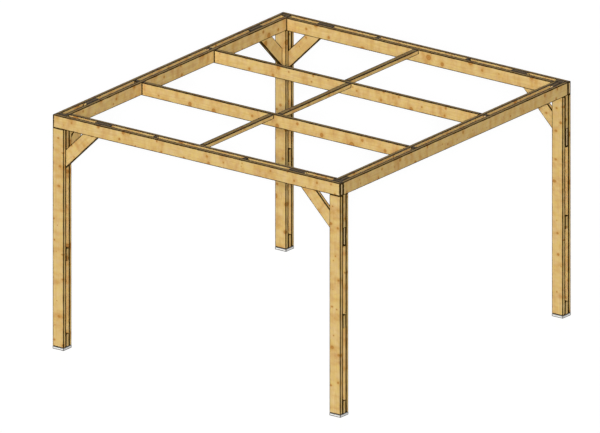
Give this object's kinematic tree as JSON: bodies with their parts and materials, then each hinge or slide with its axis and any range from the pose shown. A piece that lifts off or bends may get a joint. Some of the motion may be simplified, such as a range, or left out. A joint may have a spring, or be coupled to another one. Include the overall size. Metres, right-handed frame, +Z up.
{
  "type": "wooden pergola",
  "caption": "Open timber pergola frame with sandwich posts and beams, corner braces, roof joists and a staggered purlin, standing on low pale pads.",
  "frame": {"origin": "centre of the plan, on the ground under the pads", "axes": "+X to the right along the front beam, +Y to the back, +Z up"},
  "size_m": [3.15, 3.43, 2.185],
  "materials": {
    "timber": "planed spruce, unpainted",
    "pad": "pale moulded plastic"
  },
  "bodies": {
    "root": {"front_left_pad": "pad", "front_left_post_outer_board": "timber", "front_left_post_inner_board": "timber", "front_left_post_blocks": "timber", "front_left_post_head": "timber", "front_left_brace": "timber", "front_right_pad": "pad", "front_right_post_outer_board": "timber", "front_right_post_inner_board": "timber", "front_right_post_blocks": "timber", "front_right_post_head": "timber", "front_right_brace": "timber", "back_left_pad": "pad", "back_left_post_outer_board": "timber", "back_left_post_inner_board": "timber", "back_left_post_blocks": "timber", "back_left_post_head": "timber", "back_left_brace": "timber", "back_right_pad": "pad", "back_right_post_outer_board": "timber", "back_right_post_inner_board": "timber", "back_right_post_blocks": "timber", "back_right_post_head": "timber", "back_right_brace": "timber", "front_beam_outer_board": "timber", "front_beam_inner_board": "timber", "front_beam_spacers": "timber", "back_beam_outer_board": "timber", "back_beam_inner_board": "timber", "back_beam_spacers": "timber", "left_beam_outer_board": "timber", "left_beam_inner_board": "timber", "left_beam_spacers": "timber", "right_beam_outer_board": "timber", "right_beam_inner_board": "timber", "right_beam_spacers": "timber", "right_beam_end_blocks": "timber", "front_left_side_brace": "timber", "back_left_side_brace": "timber", "front_joist": "timber", "rear_joist": "timber", "front_purlin": "timber", "middle_purlin": "timber", "rear_purlin": "timber"}
  },
  "joints": []
}
